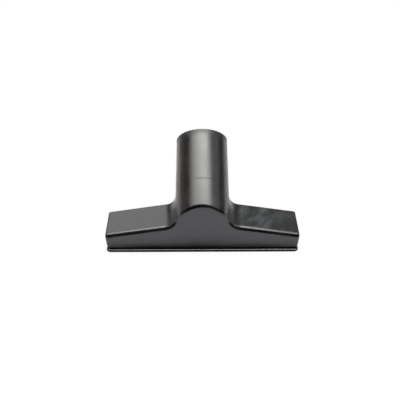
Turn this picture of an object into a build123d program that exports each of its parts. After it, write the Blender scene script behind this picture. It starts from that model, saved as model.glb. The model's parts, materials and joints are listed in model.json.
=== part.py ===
from build123d import *
from math import cos, radians, sin, tan
import os

# Upholstery nozzle for a vacuum hose: a winged suction head and a leaning hose socket, moulded as one piece.
# Millimetres and degrees. X runs along the wings, Y from front to back, Z up from the mouth plane.
# The origin is the middle of the mouth.

# Winged body
body_width = 150.3  # over the two ends, at the top
body_depth = 30.3  # over the front and back walls
wing_end_height = 14.95  # top of a wing at its outer end, above the mouth plane
wing_slope = 9.6  # rise of a wing's top towards the socket
end_lean = 1.0  # how far each end wall leans in at its foot
wall = 2.4  # roof, front, back and end walls

# Lip round the mouth
lip_height = 2.05
lip_reach = 2.35  # past the front and back walls
lip_end_reach = 0.6  # past the end walls
lip_corner = 3.5  # corner radius in plan
lip_top_share = 0.68  # radius of the upper edge, as a part of the lip's height
lip_foot_share = 0.25  # radius of the lower edge, as a part of the lip's height
mouth_round = 0.6  # inner edge of the mouth

# Hose socket
socket_lean = 60.0  # axis, from upright, towards the back
socket_axis_height = 19.55  # where the axis crosses the plane of the front wall
socket_length = 77.3  # along the axis, from the plane of the front wall to the rim
socket_bore_radius = 17.5
socket_depth = 42.0  # rim to the stop shoulder
socket_wall = 2.85  # at the rim
socket_draft = 0.6  # the outside widens towards the body
stop_step = 1.0  # radial height of the stop shoulder
rim_bevel = 0.6  # outer edge of the rim
bevel_angle = 45.0
bore_lead = 0.7  # chamfer that leads the hose end into the bore

# Rounded edges of the body
blend_radius = 12.5  # hollow blend from the wings and back wall into the socket
duct_blend = 10.0  # the same blend on the inside, from the chamber into the duct
front_round = 3.7  # front edges of the roof, and the arch over the front wall
back_round = 2.4  # back edges of the roof
end_round = 2.0  # edges of the end walls

# Limits and tolerances
overcut = 2.0  # how far a cutting shape runs past the face it opens
touch = 0.01  # two places this close are the same place
lead_share = 0.45  # largest part of the socket's wall that its lead-in chamfer may take

# Places worked out from the sizes
front_y = -body_depth / 2
lean = radians(socket_lean)
slope = radians(wing_slope)
rim_radius = socket_bore_radius + socket_wall
duct_radius = socket_bore_radius - stop_step
stop_station = socket_length - socket_depth
run_on = blend_radius  # extra length that lets a blend cross a plane cleanly before it is cut there
run_on_y = front_y - run_on
foot_station = -(run_on + rim_radius) / sin(lean)  # start of the socket's pipe, out past the extra length
axis_frame = Plane(
    origin=(0, front_y, socket_axis_height),
    x_dir=(1, 0, 0),
    z_dir=(0, sin(lean), cos(lean)),
)
socket_axis = Axis(axis_frame.origin, axis_frame.z_dir)


def upright_plane(y):
    """The plane across the nozzle at y, facing forward."""
    return Plane.XZ.offset(-y)


def pipe_between(start, stop, radius, draft=0):
    """A round bar on the socket's axis, between two distances from the plane of the front wall."""
    return extrude(axis_frame.offset(start) * Circle(radius), stop - start, taper=draft)


def roofed_block(inset, foot):
    """The block under the two sloping roofs, with every wall moved in by inset, run on in front."""
    half = body_width / 2 - inset
    end_top = wing_end_height + inset * tan(slope) - inset / cos(slope)
    outline = Polyline(
        (-half + end_lean, foot),
        (half - end_lean, foot),
        (half, end_top),
        (0, end_top + half * tan(slope)),
        (-half, end_top),
        close=True,
    )
    return extrude(upright_plane(run_on_y) * make_face(outline), -(run_on + body_depth - inset))


def high_edges(face):
    """The edges of a front or back face that lie above the wing ends."""
    return face.edges().filter_by(lambda edge: edge.center().Z > wing_end_height)


def joined(block, pipe, inset, foot, blend):
    """Block and pipe as one form, with a hollow blend between them, cut flat at the front wall."""
    pipe = split(pipe, bisect_by=Plane.XY.offset(foot), keep=Keep.TOP)
    pipe = split(pipe, bisect_by=upright_plane(run_on_y), keep=Keep.BOTTOM)
    form = block + pipe
    pipe_face = form.faces().filter_by(GeomType.PLANE, reverse=True).sort_by(SortBy.AREA)[-1]
    back_y = block.bounding_box().max.Y
    seam = pipe_face.edges().filter_by(
        lambda edge: run_on_y + touch < edge.center().Y < back_y + touch and edge.center().Z > foot + touch
    )
    return split(fillet(seam, blend), bisect_by=upright_plane(front_y + inset), keep=Keep.BOTTOM)


def outer_skin():
    """The outside: wings and socket, with the lip round the mouth."""
    foot = lip_height / 2
    bevel_station = socket_length - rim_bevel
    foot_radius = rim_radius + (bevel_station - foot_station) * tan(radians(socket_draft))
    pipe = pipe_between(foot_station, bevel_station, foot_radius, socket_draft)
    pipe += pipe_between(bevel_station, socket_length, rim_radius, bevel_angle)
    block = roofed_block(0, foot)
    block = fillet(high_edges(block.faces().sort_by(Axis.Y)[-1]), back_round)
    skin = joined(block, pipe, 0, foot, blend_radius)
    skin = fillet(high_edges(skin.faces().sort_by(Axis.Y)[0]), front_round)
    for side in (0, -1):
        end = skin.faces().sort_by(Axis.X)[side]
        skin = fillet(end.edges().filter_by(lambda edge: edge.center().Z > foot + touch), end_round)
    lip_width = body_width + 2 * (lip_end_reach - end_lean)
    lip = extrude(RectangleRounded(lip_width, body_depth + 2 * lip_reach, lip_corner), lip_height)
    lip = fillet(lip.faces().sort_by(Axis.Z)[-1].edges(), lip_top_share * lip_height)
    lip = fillet(lip.faces().sort_by(Axis.Z)[0].edges(), lip_foot_share * lip_height)
    return skin + lip


def hollow():
    """The inside: mouth chamber, duct, stop shoulder and the bore that the hose end slides into."""
    foot = -overcut
    duct = pipe_between(foot_station, stop_station + run_on, duct_radius)
    chamber = joined(roofed_block(wall, foot), duct, wall, foot, duct_blend)
    chamber = split(chamber, bisect_by=axis_frame.offset(stop_station), keep=Keep.BOTTOM)
    return chamber + pipe_between(stop_station, socket_length + overcut, socket_bore_radius)


def nozzle():
    """The moulded piece: the skin less the hollow, with its rim and mouth edges finished."""
    body = outer_skin() - hollow()
    rim = body.faces().sort_by(socket_axis)[-1]
    body = chamfer(rim.edges().sort_by(SortBy.LENGTH)[0], min(bore_lead, lead_share * socket_wall))
    mouth = body.faces().sort_by(Axis.Z)[0]
    return fillet(mouth.inner_wires().edges(), mouth_round)


os.makedirs("parts", exist_ok=True)
export_step(nozzle(), "parts/nozzle_body.step")
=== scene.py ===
import json
import math

import bmesh
import bpy
from mathutils import Matrix, Vector


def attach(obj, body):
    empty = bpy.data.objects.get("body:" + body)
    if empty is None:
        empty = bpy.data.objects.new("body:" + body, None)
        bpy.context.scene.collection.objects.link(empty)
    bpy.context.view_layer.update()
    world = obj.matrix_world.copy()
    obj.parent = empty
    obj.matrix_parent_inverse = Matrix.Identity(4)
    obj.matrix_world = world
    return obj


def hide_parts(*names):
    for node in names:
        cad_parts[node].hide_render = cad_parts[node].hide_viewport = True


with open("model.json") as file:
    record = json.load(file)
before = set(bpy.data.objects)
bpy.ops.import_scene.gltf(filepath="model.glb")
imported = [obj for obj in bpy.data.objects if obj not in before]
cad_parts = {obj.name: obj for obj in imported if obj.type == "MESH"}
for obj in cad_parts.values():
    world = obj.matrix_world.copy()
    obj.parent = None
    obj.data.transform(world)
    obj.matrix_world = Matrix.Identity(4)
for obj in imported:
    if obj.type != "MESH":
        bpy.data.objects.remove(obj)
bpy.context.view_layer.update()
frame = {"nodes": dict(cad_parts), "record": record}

scene = bpy.context.scene
rising, falling = (0.0, 1.0), (1.0, 0.0)  # the two ends of a ramp


# Helpers for node trees: a value is a number, a colour or another node's output
def plugIn(tree, socket, value):
    if isinstance(value, bpy.types.NodeSocket):
        tree.links.new(value, socket)
    else:
        socket.default_value = value


def addNode(tree, kind, inputs=None, **options):
    node = tree.nodes.new(kind)
    for name, value in options.items():
        setattr(node, name, value)
    for name, value in (inputs or {}).items():
        plugIn(tree, node.inputs[name], value)
    return node


def addMath(tree, kind, first, second=0.0):
    return addNode(tree, "ShaderNodeMath", {0: first, 1: second}, operation=kind).outputs[0]


def multiply(tree, *shares):
    product = shares[0]
    for share in shares[1:]:
        product = addMath(tree, "MULTIPLY", product, share)
    return product


# Inputs 6 and 7 and output 2 of a mix node are its colours
def mixColours(tree, share, first, second):
    return addNode(tree, "ShaderNodeMix", {0: share, 6: first, 7: second}, data_type="RGBA").outputs[2]


def addNoise(tree, place, look):
    return addNode(tree, "ShaderNodeTexNoise", {"Vector": place, **look}).outputs["Fac"]


def addRamp(tree, value, span, ends=rising):
    return addNode(tree, "ShaderNodeMapRange", {
        "Value": value, "From Min": span[0], "From Max": span[1], "To Min": ends[0], "To Max": ends[1],
    }, interpolation_type="SMOOTHSTEP").outputs["Result"]


# A zone is a product of ramps, each of them along one of the named coordinates
def addZone(tree, along, ramps):
    return multiply(tree, *(addRamp(tree, along[way], span, ends) for way, span, ends in ramps))


def addCoordinates(tree):
    place = addNode(tree, "ShaderNodeTexCoord").outputs["Object"]
    x, y, z = addNode(tree, "ShaderNodeSeparateXYZ", {"Vector": place}).outputs
    outX, outY = addMath(tree, "ABSOLUTE", x), addMath(tree, "ABSOLUTE", y)
    return {"place": place, "x": x, "y": y, "z": z, "outX": outX, "outY": outY}


# Camera, fitted to the corners and edges of the nozzle
cameraSettings = {
    "lens": 54.63,
    "sensor": 36.0,
    "clip": (0.01, 20.0),
    "aim": (-0.00187, -0.0013, 0.03896),
    "distance": 0.4609,
    "azimuth": math.radians(-0.5),
    "elevation": math.radians(38.5),
    "roll": math.radians(0.12),
}


def makeCamera(settings):
    data = bpy.data.cameras.new("photoCamera")
    data.lens = settings["lens"]
    data.sensor_width = settings["sensor"]
    data.clip_start, data.clip_end = settings["clip"]
    camera = bpy.data.objects.new("photoCamera", data)
    scene.collection.objects.link(camera)
    turn = (
        Matrix.Rotation(settings["azimuth"], 4, "Z")
        @ Matrix.Rotation(math.pi / 2 - settings["elevation"], 4, "X")
        @ Matrix.Rotation(settings["roll"], 4, "Z")
    )
    stepBack = Matrix.Translation((0, 0, settings["distance"]))
    camera.matrix_world = Matrix.Translation(settings["aim"]) @ turn @ stepBack
    scene.camera = camera


makeCamera(cameraSettings)
print("camera set")


# Black satin plastic, faintly mottled, with a fine grain
plasticSettings = {
    "dark": (0.0016, 0.0015, 0.0014, 1),
    "light": (0.0062, 0.0060, 0.0062, 1),
    "mottle": {"Scale": 75.0, "Detail": 4.0, "Roughness": 0.6},
    "mottleSpan": (0.42, 0.72),  # of the noise, from the dark colour to the light one
    "roughSpan": (0.3, 0.7),  # of the same noise, from the low roughness to the high one
    "roughness": (0.28, 0.34),
    "grain": {"Scale": 2600.0, "Detail": 2.0},
    "grainHeight": 0.000004,
}

# Greasy smears in streaks on the right wing's roof, weaker towards its end; their paler colour is painted
# sheen
smearAndSheenSettings = {
    "noise": {"Scale": 75.0, "Detail": 3.0, "Roughness": 0.6, "Distortion": 0.4},
    "turn": math.radians(-56),  # about Z, to the streaks' direction
    "stretch": (0.55, 1.6, 1.0),  # draws the noise out into streaks
    "span": (0.41, 0.63),  # of the noise, from clean to smeared
    "colour": (0.0190, 0.0208, 0.0225, 1),
    "rough": 0.06,  # added where smeared
    "where": (
        ("x", (0.026, 0.031), rising),
        ("x", (0.044, 0.060), (1.0, 0.3)),  # weaker out here
        ("y", (-0.0145, -0.0125), rising),  # off the front rounding
    ),
}

# Zones that are smoother or duller than the rest, and what their roughness is multiplied by
glossSettings = {
    "hollowBlend": {  # its front half, on both sides of the socket
        "times": 1.48,
        "where": (
            ("outX", (0.0175, 0.0215), rising),
            ("outX", (0.0225, 0.0265), falling),
            ("y", (-0.0140, -0.0130), rising),
            ("y", (-0.004, 0.008), falling),
        ),
    },
    "frontRounding": {
        "times": 0.55,
        "where": (
            ("x", (-0.030, -0.006), (0.35, 1.0)),  # less on the left wing
            ("y", (-0.01512, -0.0148), rising),
            ("y", (-0.0140, -0.0130), falling),
        ),
    },
    "lip": {"times": 0.45, "where": (("z", (0.0020, 0.0026), falling),)},
    "socketRim": {"times": 1.48, "where": (("station", (-0.0055, -0.0005), rising),)},
}

# Painted highlight: the lip's upper edge is paler where it mirrors the softbox
lipHighlightSettings = {
    "colour": (0.050, 0.050, 0.051, 1),
    "where": (
        ("z", (0.0016, 0.0019), rising),
        ("z", (0.00200, 0.00204), falling),
        ("outY", (0.0151, 0.0156), rising),
    ),
}

# A fine witness line over the socket, level with the stop inside
lineSettings = {
    "drop": 0.041,  # from the socket's mount
    "rough": 1.0,  # on the line
    "where": (
        ("offLine", (0.0, 0.00045), falling),
        ("x", (-0.0068, -0.0050), rising),
        ("x", (0.0110, 0.0140), falling),
        ("z", (0.044, 0.046), rising),
    ),
}


# Distances along the socket, counted from its mount near the rim, and from the witness line
def addSocketDistances(tree, along, drop):
    mount = next(mount for mount in frame["record"]["mounts"] if mount["name"] == "hose_socket")
    axis = Vector(mount["axis"])
    reach = addNode(tree, "ShaderNodeVectorMath", {0: along["place"], 1: axis}, operation="DOT_PRODUCT")
    along["station"] = addMath(tree, "SUBTRACT", reach.outputs["Value"], axis.dot(Vector(mount["pos_m"])))
    along["offLine"] = addMath(tree, "ABSOLUTE", addMath(tree, "ADD", along["station"], drop))


def addSmearsAndSheen(tree, along, settings):
    turned = addNode(tree, "ShaderNodeMapping", {
        "Vector": along["place"], "Rotation": (0, 0, settings["turn"]),
    }).outputs["Vector"]
    stretched = addNode(tree, "ShaderNodeVectorMath", {
        0: turned, 1: settings["stretch"],
    }, operation="MULTIPLY").outputs["Vector"]
    streaks = addRamp(tree, addNoise(tree, stretched, settings["noise"]), settings["span"])
    return multiply(tree, streaks, addZone(tree, along, settings["where"]))


def makePlastic(settings):
    material = bpy.data.materials.new("satinBlackPlastic")
    material.use_nodes = True
    tree = material.node_tree
    along = addCoordinates(tree)
    addSocketDistances(tree, along, lineSettings["drop"])

    mottle = addNoise(tree, along["place"], settings["mottle"])
    tone = addRamp(tree, mottle, settings["mottleSpan"])
    smearAndSheen = addSmearsAndSheen(tree, along, smearAndSheenSettings)
    # painted highlight along the lip's upper edge
    paintedLipHighlight = addZone(tree, along, lipHighlightSettings["where"])
    colour = mixColours(tree, tone, settings["dark"], settings["light"])
    # paler smear streaks, partly grease and partly painted sheen
    colour = mixColours(tree, smearAndSheen, colour, smearAndSheenSettings["colour"])
    colour = mixColours(tree, paintedLipHighlight, colour, lipHighlightSettings["colour"])

    rough = addRamp(tree, mottle, settings["roughSpan"], settings["roughness"])
    rough = addMath(tree, "ADD", rough, multiply(tree, smearAndSheen, smearAndSheenSettings["rough"]))
    for zone in glossSettings.values():
        change = multiply(tree, addZone(tree, along, zone["where"]), zone["times"] - 1)
        rough = multiply(tree, rough, addMath(tree, "ADD", change, 1.0))
    onLine = addZone(tree, along, lineSettings["where"])
    rough = addMath(tree, "MAXIMUM", rough, multiply(tree, onLine, lineSettings["rough"]))

    grain = addNode(tree, "ShaderNodeBump", {
        "Height": addNoise(tree, along["place"], settings["grain"]),
        "Distance": settings["grainHeight"],
        "Strength": 1.0,
    })
    shader = tree.nodes["Principled BSDF"]
    tree.links.new(colour, shader.inputs["Base Color"])
    tree.links.new(rough, shader.inputs["Roughness"])
    tree.links.new(grain.outputs["Normal"], shader.inputs["Normal"])
    return material


plastic = makePlastic(plasticSettings)
print("plastic mixed")


# The moulded nozzle, smooth over its roundings and creased at its true corners
shellSettings = {
    "node": "nozzle_body",
    "name": "nozzle_shell",
    "mergeGap": 0.000002,  # vertices this close are one
    "sliver": 0.000003,  # edges this short are dissolved
    "flat": math.radians(0.05),  # faces this level with each other are joined
    "crease": math.radians(35),  # from here on an edge stays sharp
    "faceWeight": 100,  # the largest faces lead the shading
}


def makeShell(settings):
    bm = bmesh.new()
    bm.from_mesh(frame["nodes"][settings["node"]].data)
    bmesh.ops.remove_doubles(bm, verts=bm.verts, dist=settings["mergeGap"])
    bmesh.ops.dissolve_degenerate(bm, dist=settings["sliver"], edges=bm.edges)
    bmesh.ops.dissolve_limit(bm, angle_limit=settings["flat"], verts=bm.verts, edges=bm.edges)
    for face in bm.faces:
        face.smooth = True
    for edge in bm.edges:
        edge.smooth = edge.calc_face_angle(0) < settings["crease"]
    mesh = bpy.data.meshes.new(settings["name"])
    bm.to_mesh(mesh)
    bm.free()
    for name in [layer.name for layer in mesh.attributes if layer.name == "custom_normal"]:
        mesh.attributes.remove(mesh.attributes[name])
    mesh.materials.clear()
    mesh.materials.append(plastic)
    shell = bpy.data.objects.new(settings["name"], mesh)
    scene.collection.objects.link(shell)
    evened = shell.modifiers.new("evenShading", "WEIGHTED_NORMAL")
    evened.mode = "FACE_AREA"
    evened.weight = settings["faceWeight"]
    evened.keep_sharp = True
    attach(shell, "root")
    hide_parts(settings["node"])
    return shell


shell = makeShell(shellSettings)
print("shell made,", len(shell.data.polygons), "faces")


# Pale floor with painted shade: lightest in front of the nozzle, darker behind it and darkest close round
# it.
# The camera sees it nearly white, the plastic mirrors its own colours.
floorSettings = {
    "half": 2.0,  # of its width
    "roughness": 0.9,
    "specular": 0.1,
    "front": (0.715, 0.70, 0.757, 1),
    "back": (0.475, 0.46, 0.455, 1),
    "turns": (-0.030, -0.018),  # along Y, where the front colour passes into the back one
    "shade": (0.06, 0.06, 0.06, 1),
    "shaded": (("outX", (0.045, 0.085), falling), ("outY", (0.0195, 0.0225), falling)),  # round the lip
    "mouth": (("outX", (0.0720, 0.0735), falling), ("outY", (0.0135, 0.0150), falling)),  # inside it
    "seenWhite": 0.97,  # how white the camera sees the floor, outside the mouth
}


def makePaper(settings):
    paper = bpy.data.materials.new("palePaper")
    paper.use_nodes = True
    tree = paper.node_tree
    shader = tree.nodes["Principled BSDF"]
    shader.inputs["Roughness"].default_value = settings["roughness"]
    shader.inputs["Specular IOR Level"].default_value = settings["specular"]
    along = addCoordinates(tree)
    outside = addMath(tree, "SUBTRACT", 1.0, addZone(tree, along, settings["mouth"]))
    shaded = multiply(tree, outside, addZone(tree, along, settings["shaded"]))
    # painted shade: the floor is darker behind the nozzle, and a painted shadow lies close round the lip
    behind = addRamp(tree, along["y"], settings["turns"])
    colour = mixColours(tree, behind, settings["front"], settings["back"])
    colour = mixColours(tree, shaded, colour, settings["shade"])
    tree.links.new(colour, shader.inputs["Base Color"])
    seen = addNode(tree, "ShaderNodeLightPath").outputs["Is Camera Ray"]
    both = addNode(tree, "ShaderNodeMixShader", {
        0: multiply(tree, seen, outside, settings["seenWhite"]),
        1: shader.outputs["BSDF"],
        2: addNode(tree, "ShaderNodeEmission").outputs["Emission"],
    })
    tree.links.new(both.outputs["Shader"], tree.nodes["Material Output"].inputs["Surface"])
    return paper


def makeFloor(settings):
    bm = bmesh.new()
    bmesh.ops.create_grid(bm, x_segments=1, y_segments=1, size=settings["half"])
    mesh = bpy.data.meshes.new("paleFloor")
    bm.to_mesh(mesh)
    bm.free()
    mesh.materials.append(makePaper(settings))
    floor = bpy.data.objects.new("paleFloor", mesh)
    scene.collection.objects.link(floor)


makeFloor(floorSettings)
print("floor laid")


# Soft studio light: an overhead softbox with its hot spot right of the middle, built up from stacked panels
softboxSettings = {
    "layers": 5,
    "full": (-1.06, 0.46),  # left and right ends of the widest panel
    "hot": (-0.10, 0.36),  # and of the narrowest
    "front": -0.20,
    "back": 0.50,
    "height": 1.05,
    "drop": 0.01,  # from one layer to the next
    "radiance": 2.92,  # of each layer
    "colour": (1, 0.995, 0.975),
}

# Fill panels round the nozzle, all turned to one point: the size of each, where it hangs and its radiance
fillSettings = {
    "aim": (0, 0, 0.03),
    "panels": {
        "backLeft": {
            "size": (1.2, 0.8), "place": (-0.28, 1.12, 0.82), "radiance": 2.7, "colour": (0.985, 1, 1),
        },
        "backRight": {
            "size": (0.5, 0.6), "place": (0.58, 0.95, 0.75), "radiance": 0.45, "colour": (0.88, 0.96, 1),
        },
        "frontRight": {
            "size": (0.5, 0.26), "place": (0.53, -0.15, 1.04), "radiance": 8.0, "colour": (0.97, 0.98, 1),
        },
        "sideLeft": {
            "size": (1.2, 0.3), "place": (-0.8, 0, 0.8), "radiance": 0.5, "colour": (1, 0.91, 0.92),
        },
        "sideRight": {
            "size": (1.2, 0.5), "place": (0.9, 0, 0.7), "radiance": 1.4, "colour": (1, 0.93, 0.95),
        },
        "lowLeft": {
            "size": (1.0, 0.4), "place": (-0.9, 0.36, 0.24), "radiance": 0.45, "colour": (1, 0.89, 0.85),
        },
        "lowRight": {
            "size": (1.2, 0.4), "place": (0.85, 0.45, 0.24), "radiance": 0.15, "colour": (1, 0.91, 0.95),
        },
    },
}


def hangPanel(name, aim, size, place, radiance, colour):
    data = bpy.data.lights.new(name, "AREA")
    data.shape = "RECTANGLE"
    data.size, data.size_y = size
    data.energy = radiance * math.pi * data.size * data.size_y
    data.color = colour
    light = bpy.data.objects.new(name, data)
    scene.collection.objects.link(light)
    turn = (Vector(aim) - Vector(place)).to_track_quat("-Z", "Y").to_matrix().to_4x4()
    light.matrix_world = Matrix.Translation(place) @ turn
    light.visible_camera = False


def makeSoftbox(settings):
    depth = settings["back"] - settings["front"]
    middle = (settings["back"] + settings["front"]) / 2
    for layer in range(settings["layers"]):
        share = layer / (settings["layers"] - 1)
        left, right = (full + (hot - full) * share for full, hot in zip(settings["full"], settings["hot"]))
        place = Vector(((left + right) / 2, middle, settings["height"] - settings["drop"] * layer))
        below = (place.x, place.y, 0)
        hangPanel(
            f"softbox{layer}", below, (right - left, depth), place, settings["radiance"], settings["colour"]
        )


def makeFills(settings):
    for name, panel in settings["panels"].items():
        hangPanel(name, settings["aim"], **panel)


makeSoftbox(softboxSettings)
makeFills(fillSettings)
print("lights hung")


# The camera sees a pale room, the plastic mirrors a dim one
roomSettings = {"seen": (1, 1, 1, 1), "mirrored": (0.04, 0.04, 0.04, 1)}


def makeRoom(settings):
    world = bpy.data.worlds.new("paleRoom")
    scene.world = world
    world.use_nodes = True
    tree = world.node_tree
    seen = addNode(tree, "ShaderNodeLightPath").outputs["Is Camera Ray"]
    colour = mixColours(tree, seen, settings["mirrored"], settings["seen"])
    tree.links.new(colour, tree.nodes["Background"].inputs["Color"])


makeRoom(roomSettings)
scene.view_settings.view_transform = "Standard"
print("room set")
